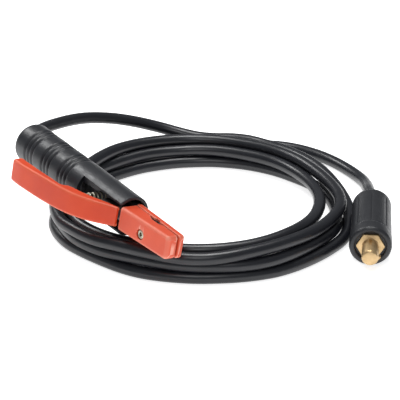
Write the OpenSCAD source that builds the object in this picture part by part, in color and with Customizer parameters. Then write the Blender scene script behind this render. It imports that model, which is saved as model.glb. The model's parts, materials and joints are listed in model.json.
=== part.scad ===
// Tong type electrode holder with a squeeze lever, lying on the coil of its own
// welding lead, which ends in a bayonet cable plug.
// Holder coordinates: +X along the handle towards the jaw tip, the lever on the -Y side,
// +Z along the pivot pin. The origin is the centre of the electrode seat.
// The holder leans on its coil, so every holder piece is drawn inside posed().

/* [Handle] */
// Outside diameter of the ribbed grip
grip_d = 33.5; // [32:0.5:34]
// Outside diameter of the smooth sleeve at its front edge
sleeve_front_d = 32.4; // [31.5:0.1:33]
// Distance from the electrode seat back to the rear of the handle
handle_rear = 176; // [172:1:180]
// Distance from the electrode seat back to the front edge of the sleeve
sleeve_front = 28; // [27:0.5:29]
// Inside diameter of the sleeve
sleeve_bore_d = 27; // [26:0.5:28]
// Depth of the grooves round the grip
groove_depth = 1.1; // [0.6:0.1:1.4]
// Width of one groove
groove_w = 2.2; // [1.4:0.1:2.4]
// Half height of the side slot that the lever comes through
slot_half = 10.1; // [10:0.1:10.4]

/* [Jaws] */
// Diameter of the electrode that the seat is cut for
electrode_d = 3.2; // [3.2:0.1:3.2]
// Gap between the closed metal jaws
jaw_gap = 1.2; // [1:0.1:1.4]
// Half height of the metal jaws
jaw_half = 7.4; // [7:0.1:7.4]
// Half height of the insulated jaw covers
cover_half = 9.6; // [9.4:0.1:9.8]
// Length from the seat to the tip of the jaw covers
jaw_tip = 29; // [28.5:0.5:30]

/* [Lever] */
// Distance from the electrode seat back to the pivot pin
pivot_back = 46; // [46:1:46]
// Diameter of the pivot pin
pivot_d = 5; // [5:0.5:5]
// Radial clearance of the lever on its pin
pivot_clear = 0.05; // [0.02:0.01:0.08]
// Wall of the lever cover
lever_wall = 2.2; // [2:0.1:2.4]

/* [Lever spring] */
// Outside diameter of the spring
spring_d = 9; // [8:0.5:9]
// Diameter of the spring wire
spring_wire = 1.6; // [1.2:0.1:1.8]
// Working turns of the spring
spring_turns = 7; // [6:1:8]

/* [Welding lead] */
// Outside diameter of the cable
cable_d = 10; // [9:0.5:10]
// Diameter of its copper conductor
conductor_d = 6.6; // [6:0.1:7]
// Inside radius of the coil
coil_inner = 96; // [95:1:98]
// Outside radius of the coil
coil_outer = 119; // [118:1:119]
// Height of the coil, three cables on top of each other
coil_high = 30; // [29:0.5:30]

/* [Cable plug] */
// Diameter of the contact pin
pin_d = 13; // [13:0.1:13]
// How far the pin stands out of the sleeve
pin_out = 19; // [18:0.5:20]
// Length of the rubber sleeve
plug_len = 71; // [70:0.5:72]
// Outside diameter of the sleeve at the front
plug_d = 33.2; // [33:0.1:33.2]
// Outside diameter of the sleeve at the rear
plug_rear_d = 31.4; // [31:0.1:32]
// Size across the flats of the hexagon behind the pin
hex_af = 19.6; // [19:0.1:20]

/* [How it lies] */
// Roll of the holder, lever side up
lean = 10; // [10:0.5:10]
// Pitch of the holder, jaws down
nod = 2.5; // [2.5:0.1:2.5]

/* [Hidden] */
$fn = 64;

seat_y = 3;                       // the seat's offset from the handle's axis
near_y = seat_y - jaw_gap / 2;    // inner face of the moving jaw
far_y = seat_y + jaw_gap / 2;     // inner face of the fixed jaw
seat_r = electrode_d / 2;
pivot = [-pivot_back, 2];
screw_z = -2;                      // height of the moving jaw cover's screw
floor_z = -42;
coil_c = [-59, 85];
plug_at = [24, 194];
plug_turn = -41;
plug_z = floor_z + plug_d / 2;

// Route of the lead from inside the handle to the coil
route_handle = [
    [-150, -3, 7], [-158, -3, 7.5], [-165, -3, 8], [-172.5, -2.5, 8], [-179.5, 0, 8],
    [-185.5, 4.5, 7.5], [-190.5, 10.5, 6.5], [-194.5, 17, 6], [-197, 24, 5.5], [-199.5, 31.5, 5],
    [-201, 38.5, 4], [-203, 53, 2.5], [-204.5, 68, -0.5], [-204.5, 82.5, -4],
    [-202, 97, -7.5], [-197.5, 110.5, -12], [-193.5, 124, -17], [-187.5, 136.5, -22],
    [-177.5, 146, -25], [-166, 155.5, -27], [-160, 161, -27.5]];
// Route of the lead from the coil to the plug
route_plug = [
    [-143, 181.5, -37], [-138, 195.5, -37], [-131.5, 208.5, -37], [-121.5, 218, -37],
    [-110, 225, -37], [-96, 230.5, -37], [-80, 234, -37], [-62, 235, -37],
    [-46, 233.5, -36.5], [-30, 229.5, -35], [-16, 222.5, -32.5], [-3, 213.5, -29],
    [9.5, 205, -26.8], [16, 200, -26], [24, 194, -25.4], [32, 187, -25.4]];

// Outline of the lever cover, seen along the pivot pin: outer edge, then inner edge
lever_outer = [[-131, -45.4], [-120, -45.4], [-110, -44.4], [-100, -43], [-90, -41.6],
               [-80, -40], [-70, -37.8], [-60, -34.6], [-50, -29.4], [-44, -25.2],
               [-38, -20.2], [-34.5, -17.2], [-29.8, -13.4]];
lever_inner = [[-29.8, -10.6], [-34.5, -12.9], [-38, -14.6], [-44, -18], [-50, -21.4],
               [-60, -25.4], [-69, -28.2], [-72.5, -29.6], [-75, -33.4], [-77.5, -35],
               [-100, -36.6], [-120, -37.2], [-131, -37.4]];
// Half height of the lever cover along its length
lever_half = [[-131.5, 7.6], [-130, 8.7], [-127.5, 9.2], [-110, 9.5], [-100, 9.7], [-90, 9.8], [-80, 9.7],
              [-70, 9.5], [-60, 9.3], [-50, 9.1], [-40, 8.7], [-34, 8.3], [-29, 7.9]];

function unit(v) = v / norm(v);
function tangent(p, i) = unit(p[min(i + 1, len(p) - 1)] - p[max(i - 1, 0)]);
function ring(p, i, r, n) =
    let (t = tangent(p, i), s = unit(cross(t, [0, 0, 1])), u = cross(s, t))
    [for (k = [0 : n - 1]) p[i] + r * (cos(360 * k / n) * s + sin(360 * k / n) * u)];

// A tube of radius r with n sides swept along the points p
module swept(p, r, n) {
    m = len(p);
    pts = [for (i = [0 : m - 1]) for (q = ring(p, i, r, n)) q];
    sides = [for (i = [0 : m - 2]) for (k = [0 : n - 1]) for (h = [0, 1])
        let (a = i * n + k, b = i * n + (k + 1) % n, c = a + n, d = b + n)
        h == 0 ? [a, c, b] : [b, c, d]];
    caps = [[for (k = [0 : n - 1]) k], [for (k = [n - 1 : -1 : 0]) (m - 1) * n + k]];
    polyhedron(points = pts, faces = concat(sides, caps), convexity = 10);
}

module posed() rotate([-lean, nod, 0]) translate([0, -seat_y, 0]) children();
module at_plug() translate([plug_at[0], plug_at[1], plug_z]) rotate([0, 0, plug_turn]) children();

// A cylinder along +X starting at x
module rod(x, len, r) translate([x, 0, 0]) rotate([0, 90, 0]) cylinder(h = len, r = r);
// A cone along +X starting at x
module taper(x, len, ra, rb) translate([x, 0, 0]) rotate([0, 90, 0]) cylinder(h = len, r1 = ra, r2 = rb);
// A box from its low corner to its high corner
module block(a, b) translate(a) cube(b - a);
// A shape of revolution about +X from points [x, r]
module turned(pts) rotate([0, 90, 0]) rotate_extrude() polygon([for (p = pts) [p[1], p[0]]]);

module handle_tube() color([0.16, 0.16, 0.17]) posed() {
    gr = grip_d / 2;
    x0 = -handle_rear;
    grooves = [18, 23, 28, 43, 48, 53, 68, 73, 78];
    difference() {
        // outer shape: rounded rear end, straight grip, slight taper to the front
        turned(concat(
            [[x0, 0]],
            [for (a = [90 : -15 : 0]) [x0 + 6 * (1 - cos(90 - a)), gr - 6 + 6 * sin(90 - a)]],
            [[x0 + 80, gr], [-sleeve_front, sleeve_front_d / 2], [-sleeve_front, 0]]));
        // rings cut round the grip
        for (g = grooves) difference() {
            rod(x0 + g - groove_w / 2, groove_w, gr + 3);
            rod(x0 + g - groove_w, 2 * groove_w, gr - groove_depth);
        }
        // bore of the sleeve, bore round the cable socket, mouth at the rear
        rod(-88, 70, sleeve_bore_d / 2);
        rod(x0 + 12, 80, 10.5);
        taper(x0 - 0.01, 12.5, 9.2, 6.4);
        // side slot with a round rear end
        lever_slot(sleeve_bore_d / 2 - 3);
        // wider mouth for the moving jaw cover
        block([-36, -20, -cover_half - 0.9], [-20, -8.4, cover_half + 0.9]);
        // flat ledge round the slot
        block([-80.5, -20, -14], [-20, -11.2, 14]);
        // seat of the handle screw, in the underside
        translate([-94, 0, -20]) cylinder(h = 5.5, r = 4.6);
        translate([-94, 0, -20]) cylinder(h = 16, r = 2.7);
    }
}
// Slot through the -Y wall to the front, with a round rear end, wider where the cover enters
module lever_slot(inner) translate([0, -inner, 0]) rotate([90, 0, 0]) {
    translate([-71, 0, 0]) cylinder(h = 20, r = 8);
    linear_extrude(height = 20)
        polygon([[-71, -8], [-64, -8], [-54, -slot_half], [0, -slot_half],
                 [0, slot_half], [-54, slot_half], [-64, 8], [-71, 8]]);
}

module handle_screw() color([0.7, 0.7, 0.72]) posed() difference() {
    union() {
        translate([-94, 0, -14.4]) cylinder(h = 9, r = 2.5);
        translate([-94, 0, -16]) cylinder(h = 1.5, r = 4.2);
    }
    block([-99, -0.5, -16.5], [-89, 0.5, -15.2]);
}

module fixed_jaw_body() color([0.42, 0.42, 0.43]) posed() difference() {
    union() {
        // blade of the fixed jaw
        block([-38, far_y, -jaw_half], [26.5, 6.8, jaw_half]);
        // the two ears of the pivot and the webs that join them to the blade and the tail
        for (s = [-1, 1]) {
            translate([pivot[0], pivot[1], s * 7.3 - 1.3]) cylinder(h = 2.6, r = 5.6);
            block([pivot[0], far_y, s * 7.3 - 1.3], [-30, 7.6, s * 7.3 + 1.3]);
            block([-62, 1, s * 7.3 - 1.3], [pivot[0], 7.6, s * 7.3 + 1.3]);
        }
        block([-38.5, far_y, -8.6], [-30, 6.8, 8.6]);
        block([-84, 1, -7], [-54, 7.6, 7]);
        // socket for the cable, with two collars that fill the handle's bore
        rod(-114, 34, 8);
        rod(-113, 2.4, 10.45);
        rod(-90.5, 5, 10.45);
    }
    // electrode seat, pivot bores, cable bore, clamp screw threads, handle screw thread
    translate([0, seat_y, -20]) cylinder(h = 40, r = seat_r);
    translate([pivot[0], pivot[1], -20]) cylinder(h = 40, r = pivot_d / 2 + 0.02);
    rod(-115, 27, 4.6);
    for (x = [-107, -98]) translate([x, 0, 3]) cylinder(h = 10, r = 3.05);
    translate([-94, 0, -12]) cylinder(h = 10, r = 2.55);
    // thread of the cover screw
    translate([-10, 0, 0]) rotate([-90, 0, 0]) cylinder(h = 12, r = 1.55);
    // pocket for the spring
    translate([-66, 0.5, 0]) rotate([-90, 0, 0]) cylinder(h = 1.5, r = spring_d / 2 + 0.4);
}

module fixed_jaw_cover() color([0.92, 0.38, 0.3]) posed() difference() {
    linear_extrude(height = 2 * cover_half, center = true)
        polygon([[-29, far_y], [-3.2, far_y], [-2.2, far_y + 1.2], [2.2, far_y + 1.2], [3.2, far_y],
                 [jaw_tip, far_y], [jaw_tip + 0.7, far_y + 0.7], [jaw_tip + 0.7, 7.6], [jaw_tip - 1, 9.2],
                 [-27.5, 9.2], [-29, 7.8]]);
    block([-30, far_y - 3, -jaw_half - 0.3], [26.8, 7.1, jaw_half + 0.3]);
    translate([-10, 0, 0]) rotate([-90, 0, 0]) cylinder(h = 12, r = 1.7);
    translate([-10, 7.2, 0]) rotate([-90, 0, 0]) cylinder(h = 1.81, r1 = 1.7, r2 = 3.1);
}

module fixed_jaw_screw() color([0.75, 0.75, 0.77]) posed() difference() {
    union() {
        translate([-10, 4.2, 0]) rotate([-90, 0, 0]) cylinder(h = 3.4, r = 1.5);
        translate([-10, 7.3, 0]) rotate([-90, 0, 0]) cylinder(h = 1.5, r1 = 1.5, r2 = 2.8);
    }
    for (a = [0, 90]) translate([-10, 0, 0]) rotate([0, a, 0]) block([-1.6, 8, -0.3], [1.6, 10, 0.3]);
}

module pivot_pin() color([0.72, 0.72, 0.74]) posed() translate([pivot[0], pivot[1], 0]) difference() {
    translate([0, 0, -10.6]) cylinder(h = 21.2, r = pivot_d / 2);
    for (s = [-1, 1]) difference() {
        translate([0, 0, s * 9.3 - 0.45]) cylinder(h = 0.9, r = pivot_d);
        translate([0, 0, s * 9.3 - 1]) cylinder(h = 2, r = 1.9);
    }
}

module pivot_clips() color([0.45, 0.45, 0.47]) posed() for (s = [-1, 1])
    translate([pivot[0], pivot[1], s * 9.3 - 0.35]) difference() {
        cylinder(h = 0.7, r = 4.4);
        translate([0, 0, -1]) cylinder(h = 3, r = 1.95);
        block([-1.5, -6, -1], [1.5, 0, 2]);
    }

module lever_arm() color([0.42, 0.42, 0.43]) posed() difference() {
    union() {
        // moving jaw
        block([-27, -1.8, -jaw_half], [26.5, near_y, jaw_half]);
        // neck and pivot boss
        linear_extrude(height = 11.4, center = true) union() {
            translate(pivot) circle(r = 5.8);
            polygon([[-46, -3.8], [-38, -5.4], [-29.5, -1.8], [-20, -1.8], [-20, near_y], [-39.8, near_y], [-43.5, 5.5]]);
            // web down to the tail
            polygon([[-51.5, 2], [-40.4, 2], [-37.6, -5.8], [-33.5, -12.6], [-38, -15.2], [-44, -18.6], [-51.5, -12]]);
        }
        // tail, inside the cover
        linear_extrude(height = 10, center = true)
            polygon([[-123, -42.9], [-110, -41.8], [-90, -38.9], [-80, -37.4], [-70, -35.1], [-60, -31.8],
                     [-50, -26.6], [-44, -22.3], [-38, -17.3], [-34, -13.9], [-33.5, -12.6],
                     [-38, -14.9], [-44, -18.4], [-50, -21.9], [-60, -26], [-70, -29.2], [-74, -31.4],
                     [-78, -36], [-100, -37.6], [-123, -38.4]]);
    }
    translate([0, seat_y, -20]) cylinder(h = 40, r = seat_r);
    translate([pivot[0], pivot[1], -20]) cylinder(h = 40, r = pivot_d / 2 + pivot_clear);
    translate([-2, -10, screw_z]) rotate([-90, 0, 0]) cylinder(h = 10.9, r = 2.05);
    // seat and thread of the spring stud
    translate([-66, -34, 0]) rotate([-90, 0, 0]) cylinder(h = 10, r = 1.55);
    translate([-66, -27.25, 0]) rotate([-90, 0, 0]) cylinder(h = 8, r = 4.6);
}

module lever_cover() color([0.86, 0.3, 0.16]) posed() difference() {
    intersection() {
        linear_extrude(height = 40, center = true) polygon(concat(lever_outer, lever_inner));
        rotate([90, 0, 0]) linear_extrude(height = 60)
            polygon(concat(lever_half, [for (i = [len(lever_half) - 1 : -1 : 0]) [lever_half[i][0], -lever_half[i][1]]]));
    }
    // channel for the arm
    intersection() {
        linear_extrude(height = 40, center = true)
            polygon(concat([for (i = [0 : len(lever_outer) - 2]) lever_outer[i] + [i == 0 ? lever_wall : 0.4, lever_wall + 0.1]],
                           [[-33.2, -13.4], [-33, -5], [-44, -12], [-60, -20], [-73, -25], [-75, -31], [-128.8, -34]]));
        rotate([90, 0, 0]) linear_extrude(height = 60)
            polygon(concat([for (p = lever_half) [p[0], p[1] - 2.1]],
                           [for (i = [len(lever_half) - 1 : -1 : 0]) [lever_half[i][0], 2.1 - lever_half[i][1]]]));
    }
}

module moving_jaw_cover() color([0.93, 0.38, 0.3]) posed() difference() {
    linear_extrude(height = 2 * cover_half, center = true)
        polygon([[-26.5, -11.6], [26.4, -6.7], [jaw_tip - 0.6, -5.4], [jaw_tip, -3.8], [jaw_tip, 1.4], [jaw_tip - 0.8, near_y],
                 [10, near_y], [6, 0.4], [-3, 0.4], [-9, 3], [-27, 3], [-28.5, 1.5], [-28.5, -9.6], [-27.9, -11]]);
    block([-30, -2.1, -jaw_half - 0.3], [26.8, 5, jaw_half + 0.3]);
    translate([-2, -12, screw_z]) rotate([-90, 0, 0]) cylinder(h = 11, r = 2.3);
    translate([-2, -12, screw_z]) rotate([-90, 0, 0]) cylinder(h = 5.75, r = 4.1);
}

module moving_jaw_screw() color([0.8, 0.8, 0.82]) posed() translate([-2, 0, screw_z]) rotate([-90, 0, 0]) difference() {
    union() {
        translate([0, 0, -6.3]) cylinder(h = 6.7, r = 2);
        translate([0, 0, -8.6]) cylinder(h = 2.3, r = 3.6);
    }
    for (a = [0, 90]) rotate([0, 0, a]) block([-2.2, -0.45, -9], [2.2, 0.45, -7.4]);
}

module spring_stud() color([0.75, 0.75, 0.77]) posed() translate([-66, 0, 0]) rotate([-90, 0, 0]) union() {
    translate([0, 0, -33]) cylinder(h = 12, r = 1.5);
    translate([0, 0, -27.2]) cylinder(h = 1, r = 4.2);
}

function coil_points(n, turns, r, h) =
    [for (i = [0 : n]) let (a = 360 * turns * i / n) [r * cos(a), r * sin(a), h * i / n]];

module lever_spring() color([0.8, 0.8, 0.82]) posed()
    translate([-66, 1.8, 0]) rotate([90, 0, 0]) {
        h = 26.9;
        r = (spring_d - spring_wire) / 2;
        n = 12 * spring_turns;
        w = spring_wire / 2;
        path = [for (i = [0 : n]) let (a = 360 * spring_turns * i / n,
                z = w + (h - 2 * w) * i / n) [r * cos(a), r * sin(a), z]];
        swept(path, w, 8);
    }

module cable_clamp_screws() color([0.5, 0.5, 0.52]) posed() for (x = [-107, -98]) translate([x, 0, 0]) difference() {
    translate([0, 0, 4.55]) cylinder(h = 4.6, r = 3);
    translate([0, 0, 6.6]) cylinder(h = 4, r = 1.7, $fn = 6);
}

module cable_ferrule() color([0.72, 0.45, 0.2]) posed() difference() {
    rod(-113.6, 24, 4.5);
    rod(-115, 27, conductor_d / 2 + 0.1);
}

module cable_conductor() color([0.75, 0.42, 0.22]) posed() rod(-114.8, 25.4, conductor_d / 2);

module cable_tail() color([0.12, 0.12, 0.13]) posed() rod(-149.7, 34.6, cable_d / 2);

module cord_handle_lead() color([0.1, 0.1, 0.11]) swept(route_handle, cable_d / 2, 10);

module cord_coil() color([0.1, 0.1, 0.11]) translate([coil_c[0], coil_c[1], floor_z]) rotate_extrude($fn = 96)
    polygon([[coil_inner, 5], [coil_inner + 5, 0], [coil_outer - 5, 0], [coil_outer, 5],
             [coil_outer, coil_high - 9], [coil_outer - 6, coil_high], [coil_inner + 5, coil_high],
             [coil_inner, coil_high - 6]]);

module cord_plug_lead() color([0.1, 0.1, 0.11]) swept(route_plug, cable_d / 2, 10);

module plug_sleeve() color([0.17, 0.17, 0.18]) at_plug() difference() {
    turned([[0, 0], [0, plug_rear_d / 2 - 4], [1.2, plug_rear_d / 2 - 1.4], [3.6, plug_rear_d / 2],
            [plug_len - 2.4, plug_d / 2], [plug_len - 0.7, plug_d / 2 - 0.7], [plug_len, plug_d / 2 - 2.4], [plug_len, 0]]);
    rod(-1, 24, cable_d / 2 + 0.3);
    rod(20, 34, 9);
    translate([53.9, 0, 0]) rotate([0, 90, 0]) rotate([0, 0, 30]) cylinder(h = 20, r = (hex_af / 2 + 0.15) / cos(30), $fn = 6);
    taper(plug_len - 1.6, 1.61, hex_af / 2 / cos(30) + 0.3, hex_af / 2 / cos(30) + 1.2);
}

module plug_contact() color([0.85, 0.68, 0.36]) at_plug() difference() {
    union() {
        rod(22.5, 32, 8.6);
        translate([54, 0, 0]) rotate([0, 90, 0]) rotate([0, 0, 30]) cylinder(h = plug_len - 0.8 - 54, r = hex_af / 2 / cos(30), $fn = 6);
        rod(60, plug_len - 48, pin_d / 2 - 0.3);
        rod(plug_len + 11, pin_out - 12.2, pin_d / 2);
        taper(plug_len + pin_out - 1.2, 1.2, pin_d / 2, pin_d / 2 - 1.1);
        // bayonet lug
        block([plug_len + 6, -9.2, -2], [plug_len + 10, 0, 2]);
    }
    rod(21, 27, 4.6);
    // slot in the top of the pin
    block([plug_len - 0.5, -1.3, pin_d / 2 - 2], [plug_len + 8, 1.3, 10]);
    for (x = [29, 39]) translate([x, 0, 3]) cylinder(h = 10, r = 3.05);
}

module plug_clamp_screws() color([0.5, 0.5, 0.52]) at_plug() for (x = [29, 39]) translate([x, 0, 0]) difference() {
    translate([0, 0, 4.55]) cylinder(h = 3.9, r = 3);
    translate([0, 0, 6.4]) cylinder(h = 4, r = 1.7, $fn = 6);
}

module plug_ferrule() color([0.72, 0.45, 0.2]) at_plug() difference() {
    rod(23, 24, 4.5);
    rod(21, 28, conductor_d / 2 + 0.1);
}

module plug_conductor() color([0.75, 0.42, 0.22]) at_plug() rod(12.2, 34.4, conductor_d / 2);

handle_tube();
handle_screw();
fixed_jaw_body();
fixed_jaw_cover();
fixed_jaw_screw();
pivot_pin();
pivot_clips();
lever_arm();
lever_cover();
moving_jaw_cover();
moving_jaw_screw();
spring_stud();
lever_spring();
cable_clamp_screws();
cable_ferrule();
cable_conductor();
cable_tail();
cord_handle_lead();
cord_coil();
cord_plug_lead();
plug_sleeve();
plug_contact();
plug_clamp_screws();
plug_ferrule();
plug_conductor();
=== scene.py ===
import json
import math
import bpy
import bmesh
from mathutils import Vector, Matrix


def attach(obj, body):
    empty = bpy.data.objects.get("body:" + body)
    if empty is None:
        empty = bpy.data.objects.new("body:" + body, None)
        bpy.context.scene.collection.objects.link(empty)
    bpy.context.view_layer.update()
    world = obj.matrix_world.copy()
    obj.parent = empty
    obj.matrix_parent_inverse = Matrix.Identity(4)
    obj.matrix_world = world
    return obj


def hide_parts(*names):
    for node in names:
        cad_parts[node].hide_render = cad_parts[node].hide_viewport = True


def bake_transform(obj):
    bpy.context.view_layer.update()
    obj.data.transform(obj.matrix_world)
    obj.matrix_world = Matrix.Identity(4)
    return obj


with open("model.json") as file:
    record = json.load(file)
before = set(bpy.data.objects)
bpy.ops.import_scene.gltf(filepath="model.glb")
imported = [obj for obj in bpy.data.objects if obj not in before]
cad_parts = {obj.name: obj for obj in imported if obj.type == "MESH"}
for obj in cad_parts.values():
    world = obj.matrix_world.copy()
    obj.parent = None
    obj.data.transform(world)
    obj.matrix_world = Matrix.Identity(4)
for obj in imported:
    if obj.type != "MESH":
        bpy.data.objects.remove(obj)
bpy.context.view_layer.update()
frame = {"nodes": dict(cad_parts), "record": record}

MM = 0.001
ROLL, PITCH, SEAT_Y = -10.0, 2.5, 3.0
POSE = (Matrix.Rotation(math.radians(PITCH), 4, 'Y') @ Matrix.Rotation(math.radians(ROLL), 4, 'X')
        @ Matrix.Translation((0, -SEAT_Y * MM, 0)))
PLUG = Matrix.Translation((0.024, 0.194, -0.0254)) @ Matrix.Rotation(math.radians(-41), 4, 'Z')

# ---------------------------------------------------------------- camera
cam_data = bpy.data.cameras.new("camera")
cam = bpy.data.objects.new("camera", cam_data)
bpy.context.scene.collection.objects.link(cam)
e, az = math.radians(27.0), math.radians(54.5)
fwd = Vector((-math.sin(az) * math.cos(e), math.cos(az) * math.cos(e), -math.sin(e)))
right = Vector((math.cos(az), math.sin(az), 0))
up = right.cross(fwd)
rot = Matrix((right, up, -fwd)).transposed().to_4x4()
cam.matrix_world = Matrix.Translation((1.05167, -0.70850, 0.67236)) @ rot
cam_data.sensor_width = 36.0
cam_data.lens = 171.42
cam_data.clip_end = 20.0
bpy.context.scene.camera = cam
bpy.context.scene.view_settings.view_transform = 'Standard'

# ---------------------------------------------------------------- the lead's route, in millimetres
ROUTE = [
    (-150.0, -3.0, 7.0), (-165.0, -3.1, 7.9), (-179.4, 0.2, 8.0), (-190.3, 10.3, 6.7), (-196.9, 23.7, 5.6),
    (-200.5, 38.2, 4.2), (-203.1, 52.8, 2.4), (-204.5, 67.6, -0.2), (-204.4, 82.1, -3.7), (-202.0, 96.5, -7.5),
    (-197.3, 110.1, -11.6), (-192.5, 123.4, -16.5), (-185.4, 135.8, -21.1), (-175.7, 146.6, -24.8), (-164.7, 156.6, -27.0),
    (-154.4, 167.4, -27.5), (-144.2, 178.4, -26.8), (-132.5, 187.7, -26.6), (-119.8, 195.6, -27.8), (-105.8, 201.0, -27.9),
    (-91.2, 204.4, -27.9), (-76.2, 205.8, -27.9), (-61.2, 205.5, -28.3), (-46.4, 203.7, -29.4), (-31.8, 200.7, -31.0),
    (-17.5, 196.5, -33.1), (-3.7, 190.9, -34.7), (9.1, 183.3, -36.3), (20.0, 173.0, -37.0), (31.2, 163.0, -37.0),
    (39.6, 150.6, -37.0), (44.6, 136.5, -37.0), (48.2, 121.9, -36.9), (50.1, 107.0, -37.0), (50.8, 92.1, -36.9),
    (49.2, 77.1, -37.0), (45.0, 62.7, -36.9), (38.9, 49.0, -37.0), (31.6, 35.9, -36.9), (23.1, 23.5, -37.0),
    (13.5, 12.0, -36.9), (2.7, 1.6, -36.9), (-9.4, -7.3, -37.0), (-22.7, -14.1, -37.0), (-37.0, -18.9, -37.0),
    (-51.5, -22.7, -37.0), (-66.2, -25.7, -37.0), (-81.1, -27.3, -37.0), (-96.0, -25.9, -37.0), (-110.3, -21.5, -37.0),
    (-123.0, -13.5, -37.0), (-133.6, -2.9, -36.9), (-142.3, 9.3, -37.0), (-149.0, 22.7, -37.0), (-154.0, 36.9, -37.0),
    (-157.8, 51.4, -37.0), (-160.2, 66.2, -36.9), (-160.9, 81.2, -37.0), (-159.4, 96.1, -36.9), (-155.9, 110.7, -37.0),
    (-150.4, 124.7, -36.9), (-143.4, 137.9, -37.0), (-134.9, 150.3, -36.9), (-124.8, 161.4, -37.0), (-113.2, 170.9, -36.9),
    (-100.5, 178.9, -37.0), (-86.7, 184.8, -36.9), (-72.2, 188.8, -37.0), (-57.5, 191.7, -37.0), (-42.6, 192.6, -36.9),
    (-27.8, 190.1, -36.9), (-13.7, 184.9, -36.7), (-0.7, 177.4, -35.9), (11.0, 168.2, -34.2), (22.6, 158.9, -32.2),
    (32.2, 147.5, -30.6), (38.5, 134.0, -29.5), (43.0, 119.7, -28.8), (46.2, 105.0, -28.1), (48.3, 90.2, -27.4),
    (48.2, 75.2, -27.1), (45.0, 60.6, -27.0), (38.9, 46.9, -27.0), (31.0, 34.1, -26.9), (22.0, 22.1, -26.9),
    (11.6, 11.3, -27.0), (-0.3, 2.1, -27.2), (-12.8, -6.1, -27.3), (-25.6, -13.9, -27.2), (-38.8, -21.0, -27.2),
    (-53.1, -25.4, -27.4), (-67.9, -27.6, -27.3), (-82.8, -26.4, -27.3), (-97.4, -22.9, -27.5), (-111.2, -17.2, -27.5),
    (-123.6, -8.7, -27.4), (-134.2, 2.0, -27.3), (-143.1, 14.0, -27.2), (-150.9, 26.8, -27.1), (-157.6, 40.3, -27.3),
    (-162.1, 54.6, -27.5), (-163.9, 69.4, -27.3), (-164.0, 84.4, -27.0), (-162.4, 99.4, -26.9), (-158.9, 113.9, -27.3),
    (-153.2, 127.8, -27.7), (-145.3, 140.5, -27.4), (-135.4, 151.8, -27.0), (-124.1, 161.7, -27.0), (-111.7, 170.1, -27.1),
    (-98.4, 177.2, -27.2), (-84.3, 182.2, -27.4), (-69.5, 184.3, -27.7), (-54.5, 183.8, -27.6), (-39.8, 180.9, -27.1),
    (-25.7, 175.9, -26.4), (-12.5, 168.8, -25.2), (-0.5, 159.9, -24.0), (10.2, 149.4, -22.7), (19.6, 137.8, -21.2),
    (27.3, 125.1, -19.5), (32.7, 111.1, -18.3), (35.3, 96.4, -17.9), (35.4, 81.4, -18.0), (33.4, 66.5, -18.0),
    (29.0, 52.2, -18.0), (22.8, 38.5, -17.9), (14.3, 26.1, -18.1), (4.1, 15.2, -18.4), (-7.3, 5.4, -18.8),
    (-19.8, -2.9, -19.1), (-32.9, -10.3, -19.4), (-46.9, -15.6, -19.9), (-61.5, -19.0, -20.1), (-76.4, -20.1, -19.9),
    (-91.2, -17.6, -19.3), (-105.0, -11.9, -18.8), (-117.8, -4.0, -18.5), (-129.5, 5.3, -18.4), (-139.9, 16.1, -17.9),
    (-148.9, 28.1, -17.3), (-156.6, 41.0, -17.4), (-162.6, 54.7, -17.5), (-167.0, 69.1, -17.8), (-169.1, 83.9, -18.5),
    (-168.8, 98.9, -19.4), (-166.2, 113.6, -20.2), (-161.4, 127.8, -20.8), (-154.4, 141.1, -21.3), (-145.6, 153.2, -21.6),
    (-135.1, 163.9, -21.8), (-123.3, 173.1, -22.1), (-110.5, 181.0, -22.2), (-96.8, 187.3, -22.3), (-82.4, 191.3, -22.3),
    (-67.5, 192.9, -22.2), (-52.5, 192.2, -22.2), (-37.6, 190.3, -22.1), (-22.9, 187.2, -22.0), (-8.6, 182.7, -21.8),
    (4.9, 176.3, -21.7), (16.7, 167.1, -21.5), (25.9, 155.3, -21.1), (33.1, 142.1, -20.5), (39.2, 128.4, -19.5),
    (43.4, 114.1, -18.5), (45.2, 99.2, -17.9), (45.6, 84.2, -17.5), (44.4, 69.2, -17.3), (42.0, 54.4, -17.1),
    (38.0, 40.0, -17.4), (31.6, 26.4, -17.9), (22.7, 14.4, -18.0), (11.3, 4.6, -18.0), (-1.4, -3.3, -18.0),
    (-14.2, -11.1, -17.7), (-27.2, -18.7, -17.2), (-40.8, -25.0, -17.7), (-55.2, -29.0, -18.0), (-70.1, -30.9, -18.0),
    (-85.1, -30.8, -18.5), (-99.4, -26.3, -18.3), (-112.7, -19.5, -17.7), (-125.3, -11.4, -17.9), (-137.2, -2.3, -18.6),
    (-148.1, 7.9, -20.6), (-157.4, 19.2, -23.8), (-164.6, 31.7, -27.7), (-170.1, 45.2, -31.5), (-173.9, 59.3, -34.7),
    (-175.9, 74.1, -36.6), (-175.8, 89.1, -36.9), (-174.0, 103.9, -36.9), (-171.5, 118.8, -36.7), (-168.3, 133.4, -36.7),
    (-164.3, 147.9, -36.7), (-159.4, 162.0, -37.0), (-153.3, 175.8, -36.8), (-146.1, 188.9, -36.9), (-137.5, 201.3, -37.0),
    (-127.7, 212.6, -37.0), (-115.9, 221.8, -37.0), (-102.4, 228.3, -37.0), (-88.0, 232.6, -37.0), (-73.2, 234.7, -37.0),
    (-58.2, 234.8, -36.9), (-43.3, 233.0, -36.3), (-28.9, 229.1, -34.9), (-15.7, 222.3, -32.4), (-3.7, 214.0, -29.2),
    (8.6, 205.7, -26.9), (20.5, 196.6, -25.6), (32.0, 187.0, -25.4),
]


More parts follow.
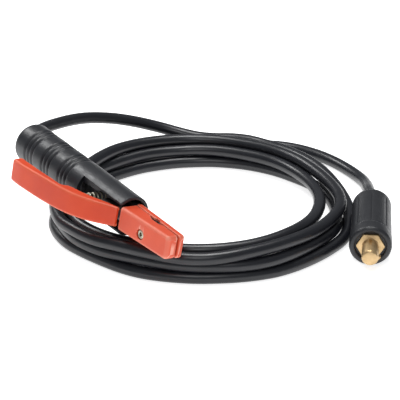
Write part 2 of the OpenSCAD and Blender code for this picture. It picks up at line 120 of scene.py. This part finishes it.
def smooth(points, n):
    """Catmull-Rom points through the given ones, n per span."""
    p = [Vector(q) * MM for q in points]
    p = [p[0] * 2 - p[1]] + p + [p[-1] * 2 - p[-2]]
    out = []
    for i in range(1, len(p) - 2):
        a, b, c, d = p[i - 1:i + 3]
        for k in range(n):
            t = k / n
            out.append(0.5 * ((2 * b) + (c - a) * t + (2 * a - 5 * b + 4 * c - d) * t * t
                              + (3 * b - a - 3 * c + d) * t ** 3))
    out.append(p[-2])
    return out


# ---------------------------------------------------------------- materials
def nodes_of(name):
    m = bpy.data.materials.new(name)
    m.use_nodes = True
    nt = m.node_tree
    nt.nodes.clear()
    out = nt.nodes.new("ShaderNodeOutputMaterial")
    b = nt.nodes.new("ShaderNodeBsdfPrincipled")
    nt.links.new(b.outputs[0], out.inputs[0])
    return m, nt, b


def noise(nt, scale, detail=3.0, rough=0.5, vec=None):
    t = nt.nodes.new("ShaderNodeTexNoise")
    t.inputs["Scale"].default_value = scale
    t.inputs["Detail"].default_value = detail
    t.inputs["Roughness"].default_value = rough
    if vec is None:
        co = nt.nodes.new("ShaderNodeTexCoord")
        vec = co.outputs["Object"]
    nt.links.new(vec, t.inputs["Vector"])
    return t


def ramp(nt, src, stops):
    r = nt.nodes.new("ShaderNodeValToRGB")
    el = r.color_ramp.elements
    while len(el) > len(stops):
        el.remove(el[-1])
    while len(el) < len(stops):
        el.new(1.0)
    for i, (pos, col) in enumerate(stops):
        el[i].position = pos
        el[i].color = (col[0], col[1], col[2], 1.0) if hasattr(col, "__len__") else (col, col, col, 1.0)
    nt.links.new(src, r.inputs["Fac"])
    return r


def material(name, dark, light, rough=(0.4, 0.5), metal=0.0, scale=60, grain=900, bump=0.05,
             spec=0.5, coat=0.0, edge_wear_and_highlight=None, dist=0.0002, sub=0.0):
    m, nt, b = nodes_of(name)
    n = noise(nt, scale, 4.0)
    col = ramp(nt, n.outputs["Fac"], [(0.3, dark), (0.7, light)])
    out = col.outputs["Color"]
    # lighter colour mixed in on sharp edges by pointiness: partly real wear, partly painted highlight where light
    # catches the edges
    if edge_wear_and_highlight is not None:
        g = nt.nodes.new("ShaderNodeNewGeometry")
        r = ramp(nt, g.outputs["Pointiness"], [(edge_wear_and_highlight[1], (0, 0, 0)), (edge_wear_and_highlight[2], (1, 1, 1))])
        mx = nt.nodes.new("ShaderNodeMix")
        mx.data_type = 'RGBA'
        nt.links.new(r.outputs["Color"], mx.inputs["Factor"])
        nt.links.new(out, mx.inputs["A"])
        mx.inputs["B"].default_value = (*edge_wear_and_highlight[0], 1.0)
        out = mx.outputs["Result"]
    nt.links.new(out, b.inputs["Base Color"])
    n2 = noise(nt, scale * 2.3, 3.0)
    rr = ramp(nt, n2.outputs["Fac"], [(0.3, rough[0]), (0.7, rough[1])])
    nt.links.new(rr.outputs["Color"], b.inputs["Roughness"])
    b.inputs["Metallic"].default_value = metal
    b.inputs["Specular IOR Level"].default_value = spec
    b.inputs["Coat Weight"].default_value = coat
    b.inputs["Coat Roughness"].default_value = 0.25
    if sub:
        b.inputs["Subsurface Weight"].default_value = sub
        b.inputs["Subsurface Radius"].default_value = (0.002, 0.0008, 0.0004)
        b.inputs["Subsurface Scale"].default_value = 1.0
    if bump:
        n3 = noise(nt, grain, 3.0, 0.6)
        bp = nt.nodes.new("ShaderNodeBump")
        bp.inputs["Strength"].default_value = bump
        bp.inputs["Distance"].default_value = dist
        nt.links.new(n3.outputs["Fac"], bp.inputs["Height"])
        nt.links.new(bp.outputs["Normal"], b.inputs["Normal"])
    return m


M = {
    "grip": material("grip", (0.0086, 0.0093, 0.0120), (0.0134, 0.0143, 0.0180), (0.36, 0.46), scale=80, grain=1400, bump=0.12, spec=0.5),
    # the edge colours below are lighter tints on sharp edges: partly wear, partly painted edge highlight
    "orange": material("orange", (0.58, 0.042, 0.007), (0.68, 0.064, 0.012), (0.36, 0.46), scale=35, grain=500, bump=0.05, spec=0.34,
                       edge_wear_and_highlight=((0.82, 0.24, 0.14), 0.51, 0.56)),
    "salmon": material("salmon", (0.62, 0.064, 0.022), (0.72, 0.092, 0.036), (0.40, 0.50), scale=35, grain=500, bump=0.06, spec=0.36,
                       edge_wear_and_highlight=((0.84, 0.33, 0.24), 0.509, 0.56)),
    "jaw_steel": material("jaw_steel", (0.12, 0.12, 0.125), (0.24, 0.24, 0.25), (0.35, 0.5), metal=1.0, scale=120, grain=1500, bump=0.2),
    "brass": material("brass", (0.47, 0.325, 0.16), (0.60, 0.43, 0.235), (0.34, 0.46), metal=0.85, scale=160, grain=2500, bump=0.08),
    "zinc": material("zinc", (0.36, 0.34, 0.27), (0.54, 0.51, 0.40), (0.28, 0.42), metal=1.0, scale=150, grain=2000, bump=0.06),
    "steel_dark": material("steel_dark", (0.10, 0.10, 0.11), (0.18, 0.18, 0.19), (0.3, 0.45), metal=1.0, scale=150, grain=2000, bump=0.06),
    "copper": material("copper", (0.55, 0.26, 0.14), (0.72, 0.38, 0.22), (0.3, 0.45), metal=1.0, scale=300, grain=3000, bump=0.1),
    "cable": material("cable", (0.0058, 0.0064, 0.0092), (0.0088, 0.0096, 0.0135), (0.31, 0.37), scale=45, grain=700, bump=0.02, spec=0.5),
    "plug_rubber": material("plug_rubber", (0.0092, 0.0100, 0.0128), (0.0146, 0.0156, 0.0192), (0.38, 0.5), scale=90, grain=1200, bump=0.15, spec=0.5),
}
SLOTS = {"grip_rubber": "grip", "orange_nylon": "orange", "salmon_insulator": "salmon", "jaw_steel": "jaw_steel",
         "plug_brass": "brass", "zinc_steel": "zinc", "dark_steel": "steel_dark", "copper": "copper",
         "cable_black": "cable", "plug_rubber": "plug_rubber"}
NODE_SLOT = {s["node"]: s["material_slot"] for s in frame["record"]["subparts"]}
for node, obj in frame["nodes"].items():
    mat = M[SLOTS[NODE_SLOT[node]]]
    if not obj.material_slots:
        obj.data.materials.append(mat)
    for ms in obj.material_slots:
        ms.material = mat


# ---------------------------------------------------------------- mesh helpers
def add(name, bm_or_mesh, slot, body, node=None, shade=35):
    if isinstance(bm_or_mesh, bmesh.types.BMesh):
        me = bpy.data.meshes.new(name)
        bm_or_mesh.to_mesh(me)
        bm_or_mesh.free()
    else:
        me = bm_or_mesh
        me.name = name
    o = bpy.data.objects.new(name, me)
    bpy.context.scene.collection.objects.link(o)
    me.materials.clear()
    me.materials.append(M[SLOTS[slot]])
    for p in me.polygons:
        p.use_smooth = True
    try:
        me.set_sharp_from_angle(angle=math.radians(shade))
    except Exception:
        pass
    if body:
        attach(o, body)
    if node:
        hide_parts(*([node] if isinstance(node, str) else node))
    return o


def soften(node, width, body, segments=3, angle=28, name=None):
    """A copy of a CAD node with its edges rounded."""
    src = frame["nodes"][node]
    bm = bmesh.new()
    bm.from_mesh(src.data)
    bm.transform(src.matrix_world)
    bmesh.ops.remove_doubles(bm, verts=bm.verts, dist=1e-6)
    bmesh.ops.dissolve_limit(bm, angle_limit=math.radians(0.6), verts=bm.verts, edges=bm.edges)
    o = add(name or node + "_look", bm, NODE_SLOT[node], body, node)
    md = o.modifiers.new("round", 'BEVEL')
    md.width = width
    md.segments = segments
    md.limit_method = 'ANGLE'
    md.angle_limit = math.radians(angle)
    md.harden_normals = False
    md.use_clamp_overlap = True
    md.miter_outer = 'MITER_ARC'
    return o


# ---------------------------------------------------------------- the lead
line = smooth(ROUTE, 3)
cu = bpy.data.curves.new("lead", 'CURVE')
cu.dimensions = '3D'
sp = cu.splines.new('POLY')
sp.points.add(len(line) - 1)
for i, p in enumerate(line):
    sp.points[i].co = (p.x, p.y, p.z, 1.0)
cu.bevel_depth = 0.005
cu.bevel_resolution = 6
cu.use_fill_caps = True
cu.materials.append(M["cable"])
lead = bpy.data.objects.new("lead", cu)
bpy.context.scene.collection.objects.link(lead)
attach(lead, "holder")
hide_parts("cord_handle_lead", "cord_coil", "cord_plug_lead")

# ---------------------------------------------------------------- more mesh helpers
def lathe(profile, n=64, scale=None, closed=False):
    """A closed shape of revolution about +X from [x, r] points in mm; scale(x, angle) gives a factor on r."""
    bm = bmesh.new()
    rings = []
    for x, r in profile:
        if r < 1e-6:
            rings.append([bm.verts.new((x * MM, 0, 0))])
            continue
        ring = []
        for k in range(n):
            a = 2 * math.pi * k / n
            q = r * (scale(x, a) if scale else 1.0) * MM
            ring.append(bm.verts.new((x * MM, q * math.cos(a), q * math.sin(a))))
        rings.append(ring)
    for a, b in list(zip(rings, rings[1:])) + ([(rings[-1], rings[0])] if closed else []):
        if len(a) == 1 and len(b) == 1:
            continue
        for k in range(n):
            m = (k + 1) % n
            if len(a) == 1:
                bm.faces.new((a[0], b[m], b[k]))
            elif len(b) == 1:
                bm.faces.new((a[k], a[m], b[0]))
            else:
                bm.faces.new((a[k], a[m], b[m], b[k]))
    bmesh.ops.recalc_face_normals(bm, faces=bm.faces)
    return bm


def prism(points, h0, h1, axis='Z'):
    """A polygon pushed along an axis, in mm."""
    bm = bmesh.new()
    lo = [bm.verts.new((x * MM, y * MM, h0 * MM)) for x, y in points]
    hi = [bm.verts.new((x * MM, y * MM, h1 * MM)) for x, y in points]
    bm.faces.new(lo[::-1])
    bm.faces.new(hi)
    for k in range(len(points)):
        m = (k + 1) % len(points)
        bm.faces.new((lo[k], lo[m], hi[m], hi[k]))
    if axis == 'Y':
        bm.transform(Matrix(((1, 0, 0, 0), (0, 0, 1, 0), (0, 1, 0, 0), (0, 0, 0, 1))))
    if axis == 'X':
        bm.transform(Matrix(((0, 0, 1, 0), (1, 0, 0, 0), (0, 1, 0, 0), (0, 0, 0, 1))))
    bmesh.ops.recalc_face_normals(bm, faces=bm.faces)
    return bm


def round_edges(bm, width, segments=2, angle=30):
    ed = [e for e in bm.edges if len(e.link_faces) == 2 and e.calc_face_angle(0) > math.radians(angle)]
    bmesh.ops.bevel(bm, geom=ed, offset=width * MM, segments=segments, profile=0.5, affect='EDGES', clamp_overlap=True)
    return bm


def join(*parts):
    out = bmesh.new()
    for p in parts:
        me = bpy.data.meshes.new("tmp")
        p.to_mesh(me)
        p.free()
        out.from_mesh(me)
        bpy.data.meshes.remove(me)
    return out


def cut(bm, *cutters):
    """bm less the cutters, by exact boolean."""
    me = bpy.data.meshes.new("work")
    bm.to_mesh(me)
    bm.free()
    o = bpy.data.objects.new("work", me)
    bpy.context.scene.collection.objects.link(o)
    temp = []
    for c in cutters:
        cm = bpy.data.meshes.new("cutter")
        c.to_mesh(cm)
        c.free()
        co = bpy.data.objects.new("cutter", cm)
        bpy.context.scene.collection.objects.link(co)
        md = o.modifiers.new("cut", 'BOOLEAN')
        md.operation = 'DIFFERENCE'
        md.solver = 'EXACT'
        md.object = co
        temp.append(co)
    dg = bpy.context.evaluated_depsgraph_get()
    res = bmesh.new()
    got = bpy.data.meshes.new_from_object(o.evaluated_get(dg))
    res.from_mesh(got)
    bpy.data.meshes.remove(got)
    for t in temp + [o]:
        d = t.data
        bpy.data.objects.remove(t)
        bpy.data.meshes.remove(d)
    bmesh.ops.remove_doubles(res, verts=res.verts, dist=2e-6)
    return res


def placed(bm, m):
    bm.transform(m)
    return bm


TURN_Y = Matrix.Rotation(math.radians(90), 4, 'Z')      # +X to +Y

# ---------------------------------------------------------------- pieces
def block(lo, hi):
    return prism([(lo[0], lo[1]), (hi[0], lo[1]), (hi[0], hi[1]), (lo[0], hi[1])], lo[2], hi[2])


def table(rows, x, col):
    """Value in a column of rows at x, by straight lines between rows."""
    if x <= rows[0][0]:
        return rows[0][col]
    for a, b in zip(rows, rows[1:]):
        if x <= b[0]:
            return a[col] + (b[col] - a[col]) * (x - a[0]) / (b[0] - a[0])
    return rows[-1][col]


def curved(rows, col):
    """The same by a smooth curve through the rows."""
    def at(x):
        k = max(0, min(len(rows) - 2, sum(1 for r in rows[1:-1] if x > r[0])))
        a, b = rows[k], rows[k + 1]
        prev, nxt = rows[max(k - 1, 0)], rows[min(k + 2, len(rows) - 1)]
        d = b[0] - a[0]
        m0 = (b[col] - prev[col]) / (b[0] - prev[0]) * d
        m1 = (nxt[col] - a[col]) / (nxt[0] - a[0]) * d
        t = max(0.0, min(1.0, (x - a[0]) / d))
        return ((2 * t ** 3 - 3 * t ** 2 + 1) * a[col] + (t ** 3 - 2 * t ** 2 + t) * m0
                + (3 * t ** 2 - 2 * t ** 3) * b[col] + (t ** 3 - t ** 2) * m1)
    return at


def bar(x0, x1, out, inn, half, ro, ri, e0, e1, step=1.5, keep_in=0.3, n=5):
    """A long rounded bar: outer and inner face heights and half width are functions of x."""
    xs = [(x0 + e0 * (1 - math.cos(math.radians(q))), e0 * (1 - math.sin(math.radians(q)))) for q in range(0, 90, 15)]
    m = max(2, int((x1 - e1 - x0 - e0) / step))
    xs += [(x0 + e0 + (x1 - e1 - x0 - e0) * k / m, 0.0) for k in range(m + 1)]
    xs += [(x1 - e1 * (1 - math.sin(math.radians(q))), e1 * (1 - math.cos(math.radians(q)))) for q in range(15, 91, 15)]
    xs = [(x0, e0 + 0.9)] + xs + [(x1, e1 + 0.9)]
    bm = bmesh.new()
    rings = []
    for x, d in xs:
        yo, yi, h = out(x), inn(x), half(x)
        s = 1.0 if yo < yi else -1.0
        yo, yi, h = yo + s * d, yi - s * d * keep_in, h - d
        a, b = max(0.25, ro - d * 0.6), max(0.2, ri - d * 0.2)
        fit = min(1.0, 0.9 * abs(yi - yo) / (a + b), 0.9 * h / max(a, b))
        a, b = a * fit, b * fit
        pts = []
        for cy, cz, r, start in ((yo + s * a, -h + a, a, 0), (yo + s * a, h - a, a, 1), (yi - s * b, h - b, b, 2), (yi - s * b, -h + b, b, 3)):
            for k in range(n):
                t = math.radians(90.0 * k / (n - 1))
                c, w = math.cos(t), math.sin(t)
                dy, dz = ((-w, -c), (-c, w), (w, c), (c, -w))[start]
                pts.append((x, cy + s * dy * r, cz + dz * r))
        full = []
        for k in range(4):
            full += pts[k * n:(k + 1) * n]
            p, q = Vector(pts[(k + 1) * n - 1]), Vector(pts[((k + 1) * n) % (4 * n)])
            full += [tuple(p.lerp(q, t)) for t in (0.1, 0.5, 0.9)]
        rings.append([bm.verts.new(Vector(q) * MM) for q in full])
    for a, b in zip(rings, rings[1:]):
        for k in range(len(a)):
            m = (k + 1) % len(a)
            bm.faces.new((a[k], a[m], b[m], b[k]))
    bm.faces.new(rings[0][::-1])
    bm.faces.new(rings[-1])
    bmesh.ops.recalc_face_normals(bm, faces=bm.faces)
    return bm


def bevelled(o, width, segments=2, angle=40):
    md = o.modifiers.new("round", 'BEVEL')
    md.width = width * MM
    md.segments = segments
    md.limit_method = 'ANGLE'
    md.angle_limit = math.radians(angle)
    md.use_clamp_overlap = True
    wn = o.modifiers.new("normals", 'WEIGHTED_NORMAL')
    wn.keep_sharp = True
    wn.weight = 60
    return o


# handle: soft rings moulded into the grip, a flat ledge round the lever slot
X0, GR, FR = -176.0, 16.75, 16.2
RINGS = [X0 + g for g in (18, 23, 28, 43, 48, 53, 68, 73, 78)]


def grip_r(x):
    base = GR if x < X0 + 80 else GR + (FR - GR) * (x - X0 - 80) / (-28 - X0 - 80)
    dip = sum(math.exp(-((x - g) / 1.05) ** 2) for g in RINGS)
    bead = sum(math.exp(-((x - g - 2.5) / 1.5) ** 2) for g in RINGS if g + 5 in RINGS)
    return base - 1.15 * dip - 0.12 * bead


prof = [(X0 + 0.5, 9.0), (X0, 9.6)]
prof += [(X0 + 5.0 * (1 - math.cos(math.radians(q))), GR - 5.0 + 5.0 * math.sin(math.radians(q))) for q in range(0, 91, 10)]
x = X0 + 6.0
while x < X0 + 82:
    prof.append((x, grip_r(x)))
    x += 0.5 if min(abs(x - g) for g in RINGS) < 3.2 else 1.5
prof += [(x, grip_r(x)) for x in (-90, -80, -70, -60, -50, -40, -34, -30, -29)]
prof += [(-28.0 - 0.7 * (1 - math.sin(math.radians(q))), FR - 0.7 * (1 - math.cos(math.radians(q)))) for q in (30, 60, 90)]
prof += [(-28.0 - 0.6 * (1 - math.cos(math.radians(q))), 13.5 + 0.6 * (1 - math.sin(math.radians(q)))) for q in (0, 30, 60, 90)]
prof += [(-40, 13.5), (-88, 13.5), (-88, 10.5), (X0 + 12, 10.5), (X0 + 12, 6.45)]
tube = lathe(prof, 112, closed=True)
slot_pts = [(-71.0 - 8.0 * math.sin(math.radians(q)), 8.0 * math.cos(math.radians(q))) for q in range(0, 181, 10)]
slot_pts += [(-64, -8), (-54, -10.1), (-15, -10.1), (-15, 10.1), (-54, 10.1), (-64, 8)]
slot = prism(slot_pts, -30, -10.5 + 3.5, 'Y')
ledge = block((-80.5, -25, -14), (-20, -11.2, 14))
mouth = block((-36, -25, -10.5), (-20, -8.4, 10.5))
seat = prism([(-94 + 4.6 * math.cos(math.radians(q)), 4.6 * math.sin(math.radians(q))) for q in range(0, 360, 15)], -20, -14.5)
seat2 = prism([(-94 + 2.7 * math.cos(math.radians(q)), 2.7 * math.sin(math.radians(q))) for q in range(0, 360, 15)], -20, -4)
tube = cut(tube, ledge, slot, mouth, seat, seat2)
handle = bevelled(add("handle_look", placed(tube, POSE), "grip_rubber", "holder", "handle_tube", 30), 0.45, 3, 38)

# lever cover: a rounded, bowed shell, open towards the arm
OUTER = [(-131, -45.4), (-120, -45.4), (-110, -44.4), (-100, -43), (-90, -41.6), (-80, -40), (-70, -37.8), (-60, -34.6),
         (-50, -29.4), (-44, -25.2), (-38, -20.2), (-34.5, -17.2), (-29.8, -13.4)]
INNER = [(-131, -37.4), (-120, -37.2), (-100, -36.6), (-77.5, -35), (-75, -33.4), (-72.5, -29.6), (-69, -28.2), (-60, -25.4),
         (-50, -21.4), (-44, -18), (-38, -14.6), (-34.5, -12.9), (-29.8, -10.6)]
HALF = [(-131, 8.9), (-127.5, 9.2), (-110, 9.5), (-100, 9.7), (-90, 9.8), (-80, 9.7), (-70, 9.5), (-60, 9.3), (-50, 9.1),
        (-40, 8.7), (-34, 8.3), (-29.8, 7.95)]
ho = curved(HALF, 1)
oo = curved(OUTER, 1)
shell = bar(-131, -29.8, oo, lambda x: table(INNER, x, 1), ho, 1.7, 1.0, 2.2, 0.7, step=1.2)
room = bar(-128.5, -20.0, lambda x: oo(min(x, -30)) + 2.4, lambda x: table(INNER, x, 1) + 6, lambda x: ho(x) - 2.3, 0.5, 0.5, 0.5, 0.5, step=2.5)
shell = cut(shell, room)
cover = bevelled(add("lever_grip_look", placed(shell, POSE), "orange_nylon", "lever", "lever_cover", 30), 0.35, 2, 45)

# jaw covers
N_OUT = [(-28.5, -11.5), (-26.5, -11.5), (26.4, -6.7), (29, -6.4)]
N_IN = [(-28.5, 2.9), (-9, 2.9), (-3, 0.4), (6, 0.4), (10, 2.4), (29, 2.4)]
near = bar(-28.4, 29.0, lambda x: table(N_OUT, x, 1), lambda x: table(N_IN, x, 1), lambda x: 9.6 - 0.25 * max(0, x - 10) / 19,
           2.2, 0.9, 2.2, 2.9, step=0.9, keep_in=0.25)
well = prism([(-2 + 4.1 * math.cos(math.radians(q)), -2 + 4.1 * math.sin(math.radians(q))) for q in range(0, 360, 12)], -15, -6.25, 'Y')
near = cut(near, block((-31, -2.1, -7.7), (26.8, 6, 7.7)), well)
near = bevelled(add("moving_jaw_look", placed(near, POSE), "salmon_insulator", "lever", "moving_jaw_cover", 30), 0.35, 2, 45)
F_OUT = [(-29, 9.2), (29.7, 8.9)]
F_IN = [(-29, 3.6), (-3.2, 3.6), (-2.2, 4.8), (2.2, 4.8), (3.2, 3.6), (29.7, 3.6)]
far = bar(-28.9, 29.7, lambda x: table(F_OUT, x, 1), lambda x: table(F_IN, x, 1), lambda x: 9.6 - 0.25 * max(0, x - 10) / 19,
          2.0, 0.8, 1.6, 2.6, step=0.9, keep_in=0.25)
fwell = prism([(-10 + 3.1 * math.cos(math.radians(q)), 3.1 * math.sin(math.radians(q))) for q in range(0, 360, 12)], 7.3, 12, 'Y')
far = cut(far, block((-31, 0, -7.7), (26.8, 7.1, 7.7)), fwell)
far = bevelled(add("fixed_jaw_look", placed(far, POSE), "salmon_insulator", "holder", "fixed_jaw_cover", 30), 0.35, 2, 45)

# the near jaw's screw: a ring round a hexagon socket
prof = [(-8.5, 0), (-8.5, 2.1), (-8.75, 2.4), (-8.8, 2.8), (-8.6, 3.3), (-8.2, 3.6), (-6.32, 3.6), (-6.3, 0)]
hexa = [(1.9 * math.cos(math.radians(60 * k)), 1.9 * math.sin(math.radians(60 * k))) for k in range(6)]
screw = cut(lathe(prof, 48), prism(hexa, -9.5, -7.0, 'X'))
screw = add("jaw_screw_head", placed(placed(screw, TURN_Y), POSE @ Matrix.Translation((-0.002, 0, -0.002))), "zinc_steel", "lever", "moving_jaw_screw")

# plug sleeve: shallow panels along it and a plain band at the front
def panels(x, a):
    t = (math.degrees(a) + 22.5) % 45.0 - 22.5
    g = math.exp(-(t / 2.2) ** 2)
    ends = min(1.0, max(0.0, (x - 7) / 3.0)) * min(1.0, max(0.0, (57 - x) / 2.0))
    flat = 1.0 - 0.022 * (math.cos(math.radians(t * 8)) * 0.5 + 0.5)
    return 1.0 - ends * (0.034 * g + (1.0 - flat) * 0.35)


R0, R1, LEN = 15.7, 16.6, 71.0
prof = [(0, 5.2), (0, 11.2)]
prof += [(3.8 * (1 - math.cos(math.radians(q))), 11.9 + 3.8 * math.sin(math.radians(q))) for q in range(0, 91, 15)]
prof += [(x, R0 + (R1 - 0.35 - R0) * (x - 3.8) / 53.0) for x in (5, 6.5, 7.5, 8.5, 9.5, 10.5, 14, 20, 28, 36, 44, 50, 54, 55, 56, 56.6)]
prof += [(57.2, R1 - 0.6), (57.8, R1 - 0.6), (58.6, R1 - 0.05), (59.4, R1), (64, R1), (LEN - 2.6, R1)]
prof += [(LEN - 2.6 + 2.6 * math.sin(math.radians(q)), R1 - 2.6 + 2.6 * math.cos(math.radians(q))) for q in (15, 30, 45, 60, 75, 90)]
prof += [(LEN, 12.9), (LEN - 0.5, 12.3), (LEN - 1.6, 12.0), (LEN - 3.0, 12.0), (LEN - 3.0, 5.2)]
bm = lathe(prof, 128, panels, closed=True)
sleeve = add("plug_sleeve_look", placed(bm, PLUG), "plug_rubber", "holder", "plug_sleeve", 50)

# plug contact: hexagon, pin with a slot on top, bayonet lug
corner = 19.6 / 2 / math.cos(math.radians(30))
hexa = [(corner * math.cos(math.radians(60 * k)), corner * math.sin(math.radians(60 * k))) for k in range(6)]
hexp = round_edges(prism(hexa, 60.0, LEN - 0.7, 'X'), 0.5, 2)
pin = lathe([(61, 0), (61, 6.5), (LEN + 0.2, 6.5), (LEN + 0.5, 6.15), (LEN + 1.4, 6.15), (LEN + 1.7, 6.5), (LEN + 17.4, 6.5),
             (LEN + 18.1, 6.3), (LEN + 18.7, 5.7), (LEN + 19.0, 5.1), (LEN + 19.0, 0)], 72)
slot = prism([(-1.2, 4.6), (1.2, 4.6), (1.2, 9), (-1.2, 9)], LEN - 0.6, LEN + 9, 'X')
pin = cut(pin, slot)
lug = []
for k in range(7):
    a = math.radians(-58 + 6 * k)
    seg = prism([(6.0 * math.cos(a - 0.06), 6.0 * math.sin(a - 0.06)), (8.7 * math.cos(a - 0.055), 8.7 * math.sin(a - 0.055)),
                 (8.7 * math.cos(a + 0.055), 8.7 * math.sin(a + 0.055)), (6.0 * math.cos(a + 0.06), 6.0 * math.sin(a + 0.06))],
                LEN + 5.6 + 0.35 * k, LEN + 9.0 + 0.35 * k, 'X')
    lug.append(seg)
contact = join(hexp, pin, *lug)
contact = add("plug_contact_look", placed(contact, PLUG), "plug_brass", "holder", "plug_contact", 35)

# lever spring (the real one shortens as the lever closes on the handle; this coil is built at one length)
turns, wire, coil_r, h = 7.0, 0.8, 3.7, 26.9
bm = bmesh.new()
rings = []
steps = int(turns * 28)
for k in range(steps + 1):
    t = k / steps
    a = 2 * math.pi * turns * t
    ease = min(1.0, t * turns) * 0.5 + min(1.0, (1 - t) * turns) * 0.5
    y = wire + (h - 2 * wire) * t
    c = Vector((coil_r * math.cos(a), y, coil_r * math.sin(a)))
    rad = Vector((math.cos(a), 0, math.sin(a)))
    ring = []
    for q in range(10):
        b = 2 * math.pi * q / 10
        ring.append(bm.verts.new((c + wire * (rad * math.cos(b) + Vector((0, 1, 0)) * math.sin(b))) * MM))
    rings.append(ring)
for a, b in zip(rings, rings[1:]):
    for q in range(10):
        bm.faces.new((a[q], a[(q + 1) % 10], b[(q + 1) % 10], b[q]))
bm.faces.new(rings[0][::-1])
bm.faces.new(rings[-1])
bmesh.ops.recalc_face_normals(bm, faces=bm.faces)
place = POSE @ Matrix.Translation((-0.066, 0.0018, 0)) @ Matrix.Rotation(math.pi, 4, 'Z')
spring = add("lever_spring_look", placed(bm, place), "zinc_steel", None, "lever_spring", 60)
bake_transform(spring)

# ---------------------------------------------------------------- floor and light
FLOOR = -0.0421
fm, fnt, fb = nodes_of("floor")
fn = noise(fnt, 3.0, 2.0)
fr = ramp(fnt, fn.outputs["Fac"], [(0.3, (0.93, 0.93, 0.93)), (0.7, (0.96, 0.96, 0.96))])
fnt.links.new(fr.outputs["Color"], fb.inputs["Base Color"])
fb.inputs["Roughness"].default_value = 0.9
fb.inputs["Specular IOR Level"].default_value = 0.1
fb.inputs["Emission Color"].default_value = (1.0, 1.0, 1.0, 1.0)
fb.inputs["Emission Strength"].default_value = 0.75
me = bpy.data.meshes.new("floor")
me.from_pydata([(-6, -6, FLOOR), (6, -6, FLOOR), (6, 6, FLOOR), (-6, 6, FLOOR)], [], [(0, 1, 2, 3)])
floor = bpy.data.objects.new("floor", me)
bpy.context.scene.collection.objects.link(floor)
me.materials.append(fm)

w = bpy.data.worlds.new("world")
bpy.context.scene.world = w
w.use_nodes = True
bg = w.node_tree.nodes["Background"]
bg.inputs[0].default_value = (0.93, 0.96, 1.0, 1.0)
bg.inputs[1].default_value = 0.26


def area(name, where, target, size, power, size_y=None):
    d = bpy.data.lights.new(name, 'AREA')
    d.energy = power
    d.size = size
    if size_y:
        d.shape = 'RECTANGLE'
        d.size_y = size_y
    o = bpy.data.objects.new(name, d)
    bpy.context.scene.collection.objects.link(o)
    o.location = where
    o.rotation_euler = (Vector(target) - Vector(where)).to_track_quat('-Z', 'Y').to_euler()
    return o


MID = (-0.05, 0.08, -0.02)
area("top", (-0.25, 0.30, 1.5), MID, 0.6, 16)
area("front", (0.72, -0.55, 0.95), MID, 0.35, 3.2)
area("side", (-1.05, -0.12, 0.95), MID, 0.4, 7.0)
